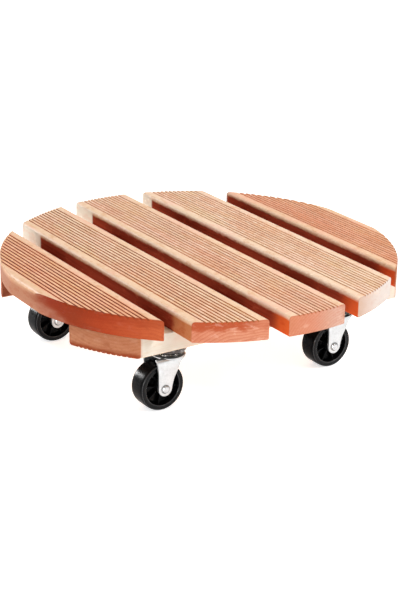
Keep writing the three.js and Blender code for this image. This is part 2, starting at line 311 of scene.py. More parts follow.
def build_board(name, across, seed, flip):
    """A board cut to the circle. across is its centre line; its length runs along X (slats) or Y (battens)."""
    rng = np.random.default_rng(seed)
    cols = board_columns()
    n = len(cols)
    stations = 56
    hw = W / 2
    ph = rng.uniform(0, 6.28, (GROOVES + 2, 4))
    fr = rng.uniform(0.6, 1.6, (GROOVES + 2, 4))
    verts, faces, groove, arris, cut = [], [], [], [], []
    bow = rng.uniform(-0.12, 0.12)

    def wave(i, a):
        return sum(math.sin(a * f * 0.055 * (k + 1) + p) / (k + 1) for k, (f, p) in enumerate(zip(fr[i], ph[i]))) / 2

    def emit(a, b, h, g, e, c):
        verts.append((a, across + b, SLAT_Z + h) if not flip else (across + b, a, BATTEN_Z + T - h))
        groove.append(g)
        arris.append(e)
        cut.append(c)
        return len(verts) - 1

    def length_at(b):
        return math.sqrt(max(R * R - (across + b) ** 2, 1.0))

    def ring(s, a_in, inset, c):
        """One loop round the section at parameter s, a_in short of the end."""
        top, low = [], []
        k = 1 - inset / hw
        for b, ht, hb, g, e in cols:
            bb = b * k
            a = s * (length_at(bb) - 0.02) - math.copysign(a_in, s) if abs(s) > 0.999 else s * (length_at(bb) - 0.02)
            gi = min(max(int(round(bb / GPITCH + (GROOVES - 1) / 2)), 0), GROOVES - 1)
            d = wave(gi, a) * 0.07 * g
            wear = 0.05 * (wave(GROOVES, a) - 1) * (1 - g) * 0.6
            top.append(emit(a, bb, ht - inset + d + min(wear, 0), g, e, c))
        for b, ht, hb, g, e in cols:
            bb = b * k
            a = s * (length_at(bb) - 0.02) - math.copysign(a_in, s) if abs(s) > 0.999 else s * (length_at(bb) - 0.02)
            low.append(emit(a, bb, hb + inset, 0.0, 0.0, c))
        return top, low

    loops = []
    # more stations close to the ends, where the sawn edge is
    params = [-1 + 2 * k / stations for k in range(stations + 1)]
    loops.append(ring(-1.0, 0.0, 0.35, 1.0))
    loops.append(ring(-1.0, 0.12, 0.10, 1.0))
    loops.append(ring(-1.0, 0.40, 0.0, 0.25))
    for p in params[1:-1]:
        loops.append(ring(p, 0.0, 0.0, 0.0))
    loops.append(ring(1.0, 0.40, 0.0, 0.25))
    loops.append(ring(1.0, 0.12, 0.10, 1.0))
    loops.append(ring(1.0, 0.0, 0.35, 1.0))

    for (t0, l0), (t1, l1) in zip(loops, loops[1:]):
        for i in range(n - 1):
            faces.append((t0[i], t0[i + 1], t1[i + 1], t1[i]))
            faces.append((l0[i + 1], l0[i], l1[i], l1[i + 1]))
        faces.append((l0[0], t0[0], t1[0], l1[0]))
        faces.append((t0[-1], l0[-1], l1[-1], t1[-1]))
    # sawn ends: columns of faces that follow the circle
    rows = 7
    for (top, low), s in ((loops[0], -1.0), (loops[-1], 1.0)):
        grid = []
        for i in range(n):
            b = cols[i][0] * (1 - 0.35 / hw)
            h0 = cols[i][2] + 0.35
            h1 = cols[i][1] - 0.35
            column = [low[i]]
            for r in range(1, rows):
                h = h0 + (h1 - h0) * r / rows
                a = s * (length_at(b) - 0.02)
                column.append(emit(a, b, h, 0.0, 0.0, 1.0))
            column.append(top[i])
            grid.append(column)
        for i in range(n - 1):
            for r in range(rows):
                q = (grid[i][r], grid[i][r + 1], grid[i + 1][r + 1], grid[i + 1][r])
                faces.append(q if s < 0 else q[::-1])
    me = bpy.data.meshes.new(name)
    me.from_pydata([(x * MM, y * MM, z * MM) for x, y, z in verts], [], faces)
    for label, values in (("groove", groove), ("arris", arris), ("sawn", cut)):
        a = me.attributes.new(label, "FLOAT", "POINT")
        a.data.foreach_set("value", np.array(values, np.float32))
    bm = bmesh.new()
    bm.from_mesh(me)
    bmesh.ops.recalc_face_normals(bm, faces=bm.faces)
    bm.to_mesh(me)
    bm.free()
    me.shade_smooth()
    me.set_sharp_from_angle(angle=rad(50))
    return me


# ------------------------------------------------------------------ timber material
def timber(name, along, centre, base_z, seed, rib, margin, groove, ends, end_dark, end_ring=0.5, crust=0.0, pale=None,
           walls=None, wall_left_painted_light=None, wall_right_painted_light=None, glow=(114.0, 119.0), start=116.0, bleach=0.35, wide=0.50, inner_wall_painted_shade=None, rim_side=0, pith=(-14, -58), spacing=2.6, flip=False):
    """rib, margin, groove: tones of the ribbed face. ends: (v, tone) stops across the sawn end. walls: the long side faces."""
    N = Nodes(name)
    rng = np.random.default_rng(seed)
    off = rng.uniform(-500, 500, 3)
    obj = N.n("TexCoord").outputs["Object"]
    mm = N.vmath("SCALE", obj)
    mm.node.inputs["Scale"].default_value = 1000.0
    x, y, z = N.xyz(mm)
    u, v = (x, y) if along == "X" else (y, x)
    v = N.math("SUBTRACT", v, float(centre))
    w = N.math("SUBTRACT", z, float(base_z))
    Q = N.combine(N.math("ADD", u, float(off[0])), N.math("ADD", v, float(off[1])), N.math("ADD", w, float(off[2])))

    def stretched(a, b, c):
        return N.vmath("MULTIPLY", Q, (a, b, c))

    def centred(n, gain):
        return N.math("MULTIPLY", N.math("SUBTRACT", n, 0.5), gain)

    # growth rings round a pith that wanders slowly along the board
    wander = N.noise(stretched(0.005, 0.0, 0.0), 1.0, 1.0)
    wobble = N.noise(stretched(0.008, 0.032, 0.032), 1.0, 2.0, 0.45)
    ripple = N.noise(stretched(0.03, 0.20, 0.20), 1.0, 2.0, 0.5)
    dv = N.math("SUBTRACT", v, N.remap(wander, 0.3, 0.7, pith[0] - 9.0, pith[0] + 9.0))
    dw = N.math("SUBTRACT", w, float(pith[1]))
    ring_r = N.math("SQRT", N.math("ADD", N.math("MULTIPLY", dv, dv), N.math("MULTIPLY", dw, dw)))
    ring_r = N.math("ADD", ring_r, centred(wobble, 9.0))
    ring_r = N.math("ADD", ring_r, centred(ripple, 1.1))
    phase = N.math("FRACT", N.math("DIVIDE", ring_r, float(spacing)))
    late = N.math("POWER", phase, 2.4)
    late = N.math("MULTIPLY", late, N.remap(phase, 0.90, 1.0, 1.0, 0.0, True))

    streak = N.noise(stretched(0.010, 0.40, 0.40), 1.0, 4.0, 0.62)
    fibre = N.noise(stretched(0.045, 2.4, 2.4), 1.0, 3.0, 0.65)
    pores = N.noise(stretched(0.11, 5.5, 5.5), 1.0, 2.0, 0.5)
    patch = N.noise(stretched(0.020, 0.045, 0.045), 1.0, 3.0, 0.55)
    mottle = N.noise(stretched(0.085, 0.20, 0.20), 1.0, 4.0, 0.68)
    chatter = N.noise(stretched(0.42, 0.24, 0.24), 1.0, 2.0, 0.6)

    # ribbed face: pale crowns, redder streaks of late wood, pink and straw coloured patches
    base = N.mix(N.remap(streak, 0.36, 0.66, 0.0, 1.0, True), tint(rib, 1.07, 1.10, 1.10), tint(rib, 0.90, 0.78, 0.68))
    base = N.mix(N.math("MULTIPLY", late, 0.42), base, tint(rib, 0.82, 0.62, 0.50))
    base = N.mix(N.remap(patch, 0.50, 0.64, 0.0, 0.60, True), base, tint(rib, 1.07, 0.98, 1.02))
    base = N.mix(N.remap(patch, 0.50, 0.38, 0.0, 0.60, True), base, tint(rib, 0.97, 0.93, 0.72))
    base = N.mix(N.remap(mottle, 0.53, 0.70, 0.0, 0.70, True), base, tint(rib, 0.84, 0.64, 0.50))
    blush = N.noise(stretched(0.011, 0.030, 0.030), 1.0, 3.0, 0.55)
    base = N.mix(N.remap(blush, 0.50, 0.63, 0.0, 0.55, True), base, tint(rib, 0.93, 0.66, 0.55))
    base = N.mix(N.remap(blush, 0.47, 0.36, 0.0, 0.45, True), base, tint(rib, 1.02, 1.06, 0.94))
    base = N.mix(N.remap(mottle, 0.46, 0.32, 0.0, 0.60, True), base, tint(rib, 1.16, 1.26, 1.32))
    base = N.mix(N.remap(chatter, 0.52, 0.70, 0.0, 0.42, True), base, tint(rib, 0.88, 0.74, 0.62))
    base = N.mix(N.remap(chatter, 0.46, 0.30, 0.0, 0.45, True), base, tint(rib, 1.12, 1.20, 1.22))
    base = N.mix(N.remap(fibre, 0.50, 0.74, 0.0, 0.50), base, tint(rib, 0.80, 0.60, 0.48))
    base = N.mix(N.remap(pores, 0.60, 0.74, 0.0, 0.45), base, tint(rib, 0.66, 0.44, 0.32))

    # smooth margins and the rounded long edges are yellower, with grey and pink bruises
    absv = N.math("ABSOLUTE", v)
    edge = N.mix(N.remap(mottle, 0.48, 0.66, 0.0, 0.9, True), margin, tint(margin, 0.86, 0.70, 0.58))
    edge = N.mix(N.remap(patch, 0.50, 0.62, 0.0, 0.7, True), edge, tint(margin, 1.03, 0.86, 0.92))
    edge = N.mix(N.remap(chatter, 0.48, 0.32, 0.0, 0.6, True), edge, tint(margin, 1.10, 1.16, 1.22))
    edge = N.mix(N.remap(streak, 0.50, 0.66, 0.0, 0.5, True), edge, tint(margin, 0.90, 0.92, 0.80))
    edge = N.mix(N.remap(fibre, 0.52, 0.74, 0.0, 0.35), edge, tint(margin, 0.80, 0.66, 0.56))
    base = N.mix(N.remap(absv, 20.3, 21.5, 0.0, 0.95, True), base, edge)

    # grooves are darker: partly a darker unsanded face and partly painted shade deep in the grooves; the tone changes
    # from groove to groove and along each one
    g = N.attr("groove")
    each = N.noise(stretched(0.010, 0.26, 0.0), 1.0, 3.0, 0.6)
    groove_tone_and_shade = N.mix(N.remap(each, 0.38, 0.64, 0.0, 1.0, True), groove, tint(groove, 1.55, 1.85, 1.75))
    groove_tone_and_shade = N.mix(N.remap(mottle, 0.52, 0.70, 0.0, 0.6, True), groove_tone_and_shade, tint(groove, 0.70, 0.55, 0.50))
    depth = N.remap(N.math("ADD", g, centred(chatter, 0.10)), 0.04, wide, 0.0, 0.97, True)
    base = N.mix(depth, base, groove_tone_and_shade)

    # long side faces; on the slats the wall colour is painted light and shade: painted shade inside the gaps, darker
    # towards the bottom, and painted light where each gap opens at its ends
    if walls is not None:
        side = N.remap(absv, 26.9, 27.97, 0.0, 1.0, True)
        rough_w = N.math("ADD", w, centred(mottle, 3.4))
        if flip:
            side_tone = N.mix(N.remap(mottle, 0.50, 0.70, 0.0, 0.75, True), walls, tint(walls, 0.95, 0.84, 0.74))
            side_tone = N.mix(N.remap(patch, 0.50, 0.62, 0.0, 0.6, True), side_tone, tint(walls, 1.0, 0.88, 0.86))
            side_tone = N.mix(N.remap(streak, 0.48, 0.68, 0.0, 0.5, True), side_tone, tint(walls, 0.94, 0.88, 0.76))
            # painted shade: the batten's long faces darken and redden towards the middle, under the overhanging slats
            side_tone = N.mix(N.remap(N.math("ABSOLUTE", u), 95.0, 20.0, 0.0, 0.55, True), side_tone, tint(walls, 0.80, 0.50, 0.36))
            # painted shade: the face on the +v side (the rear batten's inner face, under the deck) is painted dark
            # red-brown
            if inner_wall_painted_shade is not None:
                shade = N.mix(N.remap(mottle, 0.46, 0.68, 0.0, 0.8, True), inner_wall_painted_shade, tint(inner_wall_painted_shade, 0.82, 0.66, 0.60))
                side_tone = N.mix(N.remap(v, -1.0, 1.0, 0.0, 1.0, True), side_tone, shade)
        else:
            # painted shade: the dark red-brown inside the gap
            inner = N.mix(N.remap(streak, 0.42, 0.66, 0.0, 0.7, True), walls, tint(walls, 0.62, 0.5, 0.5))
            inner = N.mix(N.remap(mottle, 0.54, 0.72, 0.0, 0.6, True), inner, tint(walls, 1.5, 1.9, 1.9))
            ug = N.math("ADD", u, centred(mottle, 9.0))
            # painted light: bright orange on the wall where the gap opens at the +X end, from glow[0] to glow[1]
            bright = N.mix(N.remap(mottle, 0.46, 0.70, 0.0, 0.8, True), wall_right_painted_light, tint(wall_right_painted_light, 0.82, 0.62, 0.55))
            # painted light: pale grey-beige on the wall where the gap opens at the -X end, beyond -start
            grey = N.mix(N.remap(mottle, 0.46, 0.68, 0.0, 0.8, True), wall_left_painted_light, tint(wall_left_painted_light, 0.98, 0.84, 0.80))
            inner = N.mix(N.remap(ug, glow[0], glow[1], 0.0, 1.0, True), inner, bright)
            inner = N.mix(N.remap(u, 1.5 - start, -1.5 - start, 0.0, 1.0, True), inner, grey)
            upper = N.mix(N.remap(u, 4.0 - start, -4.0 - start, 0.0, 1.0, True), edge, grey)
            # the upper wall keeps the margin tone, the lower wall takes the painted shade
            side_tone = N.mix(N.remap(rough_w, 15.9, 12.9, 0.0, 1.0, True), upper, inner)
        base = N.mix(side, base, side_tone)

    # sawn ends: growth rings, short dark pores and a little burn
    c = N.attr("sawn")
    dots = N.noise(stretched(0.7, 2.6, 2.6), 1.0, 2.0, 0.6)
    blot = N.noise(stretched(0.045, 0.11, 0.18), 1.0, 4.0, 0.62)
    across = N.remap(N.math("ADD", v, centred(blot, 26.0)), -28.0, 28.0, 0.0, 1.0)
    end = N.ramp(across, [((a + 28.0) / 56.0, tone) for a, tone in ends])
    dark_end = N.mix(0.72, end, end_dark)
    end = N.mix(N.math("MULTIPLY", late, end_ring), end, dark_end)
    if crust:
        band = N.remap(N.math("ADD", w, centred(blot, 13.0)), 8.5, 13.0, 0.0, crust, True)
        if pale is None:
            band = N.math("MULTIPLY", band, N.remap(v, 4.0, 24.0, 1.0, 0.35, True))
        end = N.mix(band, end, end_dark)
    if flip:
        # painted shade: a batten's sawn end darkens towards its ribbed lower edge, between the teeth
        tip_painted_shade = N.remap(N.math("ADD", w, centred(blot, 4.0)), 5.6, 1.8, 0.0, 0.92, True)
        end = N.mix(tip_painted_shade, end, tint(end_dark, 1.1, 0.9, 0.8))
    end = N.mix(N.remap(blot, 0.54, 0.70, 0.0, 0.45, True), end, dark_end)
    end = N.mix(N.remap(blot, 0.45, 0.32, 0.0, bleach, True), end, N.mix(0.5, end, (0.86, 0.66, 0.52)))
    end = N.mix(N.remap(dots, 0.52, 0.70, 0.0, 0.50), end, dark_end)
    end = N.mix(N.remap(mottle, 0.54, 0.70, 0.0, 0.35, True), end, dark_end)
    if pale is not None:
        tone, u0, u1 = pale
        soft = N.mix(N.remap(mottle, 0.48, 0.68, 0.0, 0.9, True), tone, tint(tone, 0.92, 0.66, 0.60))
        soft = N.mix(N.remap(dots, 0.52, 0.70, 0.0, 0.3), soft, tint(tone, 0.8, 0.6, 0.5))
        where = N.math("ADD", N.math("ADD", u, centred(blot, 40.0)), N.math("MULTIPLY", N.math("SUBTRACT", w, 8.0), 2.2))
        where = N.remap(where, u1, u0, 0.0, 1.0, True)
        end = N.mix(where, end, soft)
        lip = N.math("MULTIPLY", N.remap(N.math("ADD", w, centred(mottle, 5.0)), 10.5, 16.6, 0.0, 0.85, True), where)
        end = N.mix(lip, end, edge)
        if walls is not None:
            low_side = N.math("MULTIPLY", N.remap(absv, 26.9, 27.97, 0.0, 1.0, True), N.remap(v, -1.0, 1.0, 1.0, 0.0))
            base = N.mix(low_side, base, N.mix(N.remap(N.math("ADD", w, centred(mottle, 3.0)), 15.9, 13.9, 0.0, 1.0, True), edge, end))
    if rim_side:
        high_side = N.math("MULTIPLY", N.remap(absv, 26.9, 27.97, 0.0, 1.0, True), N.remap(N.math("MULTIPLY", v, float(rim_side)), -1.0, 1.0, 0.0, 1.0, True))
        base = N.mix(high_side, base, N.mix(N.remap(N.math("ADD", w, centred(mottle, 3.0)), 15.9, 13.9, 0.0, 1.0, True), edge, end))
    base = N.mix(N.remap(c, 0.2, 0.9, 0.0, 1.0, True), base, end)

    # relief: raised late wood, fibres, and saw lines across the ends
    h = N.math("ADD", N.math("MULTIPLY", fibre, 0.55), N.math("MULTIPLY", late, 0.30))
    h = N.math("SUBTRACT", h, N.math("MULTIPLY", N.remap(pores, 0.58, 0.72, 0.0, 1.0), 0.35))
    h = N.math("ADD", h, N.math("MULTIPLY", mottle, 0.5))
    saw = N.n("TexWave", wave_type="BANDS", bands_direction="X", wave_profile="SIN")
    N.put(saw.inputs["Vector"], N.combine(N.math("ADD", v, N.math("MULTIPLY", w, 0.22)), w, 0.0))
    saw.inputs["Scale"].default_value = 0.42
    saw.inputs["Distortion"].default_value = 2.2
    saw.inputs["Detail"].default_value = 3.0
    saw.inputs["Detail Scale"].default_value = 1.2
    sawh = N.math("MULTIPLY", N.math("ADD", N.math("MULTIPLY", saw.outputs["Fac"], 0.6), N.math("MULTIPLY", dots, 1.1)), c)
    h = N.math("ADD", N.math("MULTIPLY", h, N.remap(c, 0.0, 0.6, 1.0, 0.35)), sawh)
    normal = N.bump(h, 0.85, 0.00020)
    rough = N.math("ADD", N.remap(fibre, 0.35, 0.7, 0.58, 0.72), N.math("MULTIPLY", c, 0.12))
    rough = N.math("SUBTRACT", rough, N.math("MULTIPLY", N.attr("arris"), 0.05))
    p = N.principled(Base_Color=base, Roughness=rough, Normal=normal, IOR=1.45)
    if walls is not None and not flip:
        gloss = N.remap(side, 0.0, 1.0, 0.08, 0.0)
    else:
        gloss = 0.08
    gloss = N.math("MULTIPLY", N.remap(depth, 0.0, 1.0, 1.0, 0.10), gloss)
    # sawn and unplaned faces hardly shine
    N.put(p.inputs["Specular IOR Level"], N.math("MULTIPLY", N.remap(c, 0.0, 1.0, 1.0, 0.22), gloss))
    return N.mat


# ------------------------------------------------------------------ other materials
def black_plastic():
    N = Nodes("gloss_black_plastic")
    obj = N.n("TexCoord").outputs["Object"]
    mm = N.vmath("SCALE", obj)
    mm.node.inputs["Scale"].default_value = 1000.0
    cloud = N.noise(mm, 0.16, 4.0, 0.55)
    fine = N.noise(mm, 3.0, 3.0, 0.6)
    peel = N.noise(mm, 0.55, 2.0, 0.5)
    base = N.mix(N.remap(cloud, 0.4, 0.7, 0.0, 1.0, True), (0.0012, 0.0012, 0.0016), (0.0024, 0.0023, 0.0027))
    speck = N.remap(fine, 0.66, 0.74, 0.0, 0.5)
    base = N.mix(speck, base, (0.014, 0.0135, 0.013))
    # rolled-on dust and fine scuffs on the tread and the shoulder
    used = N.attr("tread")
    scuff = N.noise(N.vmath("MULTIPLY", mm, (0.25, 2.2, 2.2)), 1.0, 4.0, 0.7)
    sc = N.math("MULTIPLY", N.remap(scuff, 0.52, 0.72, 0.0, 0.5), used)
    base = N.mix(sc, base, (0.0055, 0.0052, 0.0050))
    # painted highlight: the moulding's two round edges are painted a lighter grey, mottled by the scuff noise; the
    # recess between them shines less
    part = N.xyz(mm)
    away = N.math("SQRT", N.math("ADD", N.math("MULTIPLY", part[1], part[1]), N.math("MULTIPLY", part[2], part[2])))
    flank = N.math("ABSOLUTE", part[0])
    outer = N.math("MULTIPLY", N.remap(N.math("ABSOLUTE", N.math("SUBTRACT", away, 19.72)), 0.25, 0.55, 1.0, 0.0, True), N.remap(flank, 7.5, 7.9, 0.0, 1.0, True))
    inner = N.math("MULTIPLY", N.remap(N.math("ABSOLUTE", N.math("SUBTRACT", away, 16.20)), 0.25, 0.55, 1.0, 0.0, True), N.remap(flank, 8.1, 8.4, 0.0, 1.0, True))
    edge_painted_highlight = N.math("MULTIPLY", N.math("ADD", outer, inner), N.remap(scuff, 0.40, 0.62, 0.25, 0.95, True))
    base = N.mix(edge_painted_highlight, base, (0.060, 0.060, 0.062))
    recess = N.math("MULTIPLY", N.remap(away, 15.9, 15.0, 0.0, 1.0, True), N.remap(away, 6.6, 7.0, 0.0, 1.0, True))
    rough = N.math("ADD", N.remap(cloud, 0.35, 0.7, 0.17, 0.22), N.math("MULTIPLY", sc, 0.10))
    rough = N.math("ADD", rough, N.math("MULTIPLY", used, 0.05))
    h = N.math("ADD", N.math("MULTIPLY", peel, 0.8), N.math("MULTIPLY", fine, 0.12))
    h = N.math("ADD", h, N.math("MULTIPLY", sc, 0.08))
    h = N.math("MULTIPLY", h, N.remap(used, 0.0, 1.0, 1.0, 0.25))
    p = N.principled(Base_Color=base, Roughness=rough, Normal=N.bump(h, 0.35, 0.00010), IOR=1.50)
    N.put(p.inputs["Specular IOR Level"], N.math("MULTIPLY", N.remap(used, 0.0, 1.0, 0.15, 0.020), N.remap(recess, 0.0, 1.0, 1.0, 0.40)))
    return N.mat


def zinc(name, tone=(0.84, 0.85, 0.855), rough=(0.26, 0.40), dull=(0.60, 0.61, 0.62), grease_and_painted_shade=0.0, seat=None, step=None):
    N = Nodes(name)
    obj = N.n("TexCoord").outputs["Object"]
    mm = N.vmath("SCALE", obj)
    mm.node.inputs["Scale"].default_value = 1000.0
    cloud = N.noise(mm, 0.22, 4.0, 0.6)
    fine = N.noise(mm, 2.4, 4.0, 0.65)
    drawn = N.noise(N.vmath("MULTIPLY", mm, (2.6, 2.6, 0.12)), 1.0, 3.0, 0.6)
    spangle = N.voronoi(mm, 0.55)["Distance"]
    base = N.mix(N.remap(cloud, 0.38, 0.72, 0.0, 0.55, True), tone, dull)
    base = N.mix(N.remap(fine, 0.58, 0.75, 0.0, 0.35), base, tuple(0.8 * c for c in dull))
    base = N.mix(N.remap(spangle, 0.3, 0.7, 0.0, 0.10), base, (0.93, 0.94, 0.97))
    # dark patches, partly grease and partly painted shade; only the ball ring uses them
    if grease_and_painted_shade:
        base = N.mix(N.remap(cloud, 0.40, 0.58, 0.0, grease_and_painted_shade, True), base, (0.035, 0.028, 0.020))
    r = N.math("ADD", N.remap(cloud, 0.3, 0.7, rough[0], rough[1]), N.math("MULTIPLY", N.math("SUBTRACT", drawn, 0.5), 0.16))
    metal = 1.0
    if seat is not None:
        # below this height the pressing is painted dark and less metallic: painted shade and painted dark reflection on
        # the swivel seat under the deck
        zz = N.math("ADD", N.xyz(mm)[2], N.math("MULTIPLY", N.math("SUBTRACT", fine, 0.5), 1.2))
        seat_painted_shade = N.math("MULTIPLY", N.remap(zz, seat[0], seat[1], 0.0, 1.0, True), N.remap(cloud, 0.66, 0.50, 0.45, 1.0, True))
        base = N.mix(seat_painted_shade, base, N.mix(N.remap(fine, 0.4, 0.7, 0.0, 1.0), (0.045, 0.026, 0.020), (0.009, 0.006, 0.005)))
        r = N.math("ADD", r, N.math("MULTIPLY", seat_painted_shade, -0.14))
        metal = N.remap(seat_painted_shade, 0.0, 1.0, 1.0, 0.12)
    if step is not None:
        # painted shade: beyond the step round the domed rivet head the flange is painted dark, a painted shadow ring
        # round the head; the rivet lies along X
        part = N.xyz(mm)
        away = N.math("SQRT", N.math("ADD", N.math("MULTIPLY", part[1], part[1]), N.math("MULTIPLY", part[2], part[2])))
        step_painted_shade = N.math("MULTIPLY", N.remap(away, step[0], step[1], 0.0, 1.0, True), N.remap(cloud, 0.35, 0.65, 0.95, 0.55, True))
        base = N.mix(step_painted_shade, base, (0.10, 0.095, 0.09))
    h = N.math("ADD", N.math("MULTIPLY", drawn, 0.5), N.math("MULTIPLY", fine, 0.35))
    h = N.math("ADD", h, N.math("MULTIPLY", cloud, 0.8))
    N.principled(Base_Color=base, Metallic=metal, Roughness=r, Normal=N.bump(h, 0.30, 0.00007))
    return N.mat


# ------------------------------------------------------------------ caster pieces, about the swivel axis, wheel towards -Y
def prism(points, lo, hi, axis):
    """points round a closed outline; extruded from lo to hi along axis. Outline axes: X -> (y, z), Y -> (x, z), Z -> (x, y)."""
    n = len(points)
    at = {"X": lambda p, d: (d, p[0], p[1]), "Y": lambda p, d: (p[0], d, p[1]), "Z": lambda p, d: (p[0], p[1], d)}[axis]
    verts = [at(p, lo) for p in points] + [at(p, hi) for p in points]
    faces = [tuple(range(n)), tuple(range(2 * n - 1, n - 1, -1))]
    faces += [(k, k + n, (k + 1) % n + n, (k + 1) % n) for k in range(n)]
    return verts, faces


def temp(verts, faces, name="temp"):
    return new_object(name, mesh_from(name, verts, faces, sharp=0))


def finished(o, name, sharp=38):
    me = o.data
    me.name = name
    bm = bmesh.new()
    bm.from_mesh(me)
    bmesh.ops.remove_doubles(bm, verts=bm.verts, dist=2e-6)
    bmesh.ops.dissolve_degenerate(bm, dist=1e-6, edges=bm.edges)
    bmesh.ops.recalc_face_normals(bm, faces=bm.faces)
    bm.to_mesh(me)
    bm.free()
    me.shade_smooth()
    me.set_sharp_from_angle(angle=rad(sharp))
    bpy.data.objects.remove(o)
    return me


def wheel_mesh():
    half = [(20.50, 0.0), (20.50, 1.8), (20.49, 3.6), (20.45, 5.6), (20.38, 6.8), (20.28, 7.35), (20.12, 7.85), (19.88, 8.25),
            (19.55, 8.55), (19.1, 8.70), (18.5, 8.75), (17.0, 8.75), (16.55, 8.72), (16.15, 8.58), (15.88, 8.30), (15.70, 7.9), (15.30, 3.3), (15.12, 2.75), (14.75, 2.4),
            (14.2, 2.25), (11.0, 2.2), (7.6, 2.2), (7.05, 2.32), (6.72, 2.62), (6.58, 3.1), (6.25, 9.55), (6.14, 10.0), (5.85, 10.3), (5.45, 10.4),
            (4.1, 10.4), (3.65, 10.3), (3.38, 10.0), (3.35, 9.6), (3.35, 3.0)]
    prof = half + [(r, -x) for r, x in reversed(half)][:-1]
    v, f = lathe(prof, 112, "X", closed=True)
    o = temp(v, f)
    # ribs between hub and rim on both faces, slightly lower than the rim
    rv, rf = [], []
    ribs = 8
    for s in (1, -1):
        for k in range(ribs):
            ang = 2 * math.pi * k / ribs
            sec = [(-0.85, 1.9), (0.85, 1.9), (0.72, 5.4), (0.60, 5.75), (0.30, 5.95), (-0.30, 5.95), (-0.60, 5.75), (-0.72, 5.4)]
            base = len(rv)
            for rr, drop in ((6.0, 0.0), (9.0, 0.0), (13.0, 0.0), (15.95, 0.0)):
                for t, x in sec:
                    y, z = t, rr
                    rv.append((s * x, y * math.cos(ang) - z * math.sin(ang), y * math.sin(ang) + z * math.cos(ang)))
            m = len(sec)
            for q in range(3):
                for j in range(m):
                    a, b = base + q * m + j, base + q * m + (j + 1) % m
                    rf.append((a, b, b + m, a + m))
            rf.append(tuple(base + j for j in range(m)))
            rf.append(tuple(base + 3 * m + j for j in reversed(range(m))))
    boolean(o, temp(rv, rf), "UNION")
    me = finished(o, "wheel", 34)
    att = me.attributes.new("tread", "FLOAT", "POINT")
    co = np.zeros(len(me.vertices) * 3)
    me.vertices.foreach_get("co", co)
    co = co.reshape(-1, 3) / MM
    rr = np.hypot(co[:, 1], co[:, 2])
    att.data.foreach_set("value", np.clip((rr - 18.6) / 1.4, 0, 1).astype(np.float32))
    return me


def fork_mesh():
    foot, half, t, top = 6.2, 12.6, 1.8, 46.95
    side = [(-18.05, top + 1), (-18.0, 46.4), (-17.55, 44.0), (-17.15, 42.0), (-16.8, 40.0), (-16.5, 37.0), (-16.32, 34.0), (-16.25, 28.0)]
    side += [(-TRAIL + foot * math.cos(rad(180 + 4 + 168 * k / 22)), AXLE_Z + foot * math.sin(rad(180 + 4 + 168 * k / 22))) for k in range(23)]
    side += [(-3.62, 21.2), (-3.2, 23.0), (-2.62, 25.4), (-1.9, 28.0), (-1.0, 30.2), (0.1, 32.2), (1.3, 34.4), (2.4, 36.6), (3.3, 38.8), (4.15, 41.0),
             (5.2, 42.6), (7.0, 44.1), (9.2, 45.3), (11.6, 46.3), (12.6, 46.6), (12.6, top + 1)]
    body = temp(*prism(side, -half - 1, half + 1, "X"))
    ro = 3.2
    ri = ro - t
    u = [(half, 0)] + arc(half - ro, top - ro, ro, 0, 90, 9) + arc(-half + ro, top - ro, ro, 90, 180, 9) + [(-half, 0), (-half + t, 0)]
    u += arc(-half + ro, top - ro, ri, 180, 90, 9) + arc(half - ro, top - ro, ri, 90, 0, 9) + [(half - t, 0)]
    boolean(body, temp(*prism(u, -30, 30, "Y")), "INTERSECT")
    plan = [(-half - 2, -24), (half + 2, -24), (half + 2, 5.6 - 2)] + arc(half - 7.4, 5.2, 7.4, 0, 90, 10) + arc(-half + 7.4, 5.2, 7.4, 90, 180, 10) + [(-half - 2, 5.6 - 2)]
    boolean(body, temp(*prism(plan, 0, 60, "Z")), "INTERSECT")
    notch = [(-9.4, -30), (9.4, -30), (9.4, -14.5), (8.6, -12.9), (6.5, -11.5), (-6.5, -11.5), (-8.6, -12.9), (-9.4, -14.5)]
    boolean(body, temp(*prism(notch, 40, 60, "Z")), "DIFFERENCE")
    bevelled(body, 0.38)
    z0, z1, r = 45.4, 47.2, 14.2
    disc = [(0, z0), (11.4, z0), (11.9, z0 + 0.06), (12.5, z0 + 0.02), (13.3, z0 + 0.08), (13.85, z0 + 0.3), (14.12, z0 + 0.62), (r, z0 + 0.95), (14.16, z0 + 1.16),
            (14.02, z1 - 0.52), (13.7, z1 - 0.60), (13.2, z1 - 0.58), (12.6, z1 - 0.42), (12.1, z1 - 0.16), (11.7, z1 - 0.03), (0, z1)]
    boolean(body, temp(*lathe(disc, 96)), "UNION")
    boolean(body, temp(*lathe([(0, 40), (4.4, 40), (4.4, 60), (0, 60)], 40)), "DIFFERENCE")
    v, f = lathe([(0, -20), (3.3, -20), (3.3, 20), (0, 20)], 40, "X")
    boolean(body, temp([(x, y - TRAIL, z + AXLE_Z) for x, y, z in v], f), "DIFFERENCE")
    return finished(body, "fork", 33)


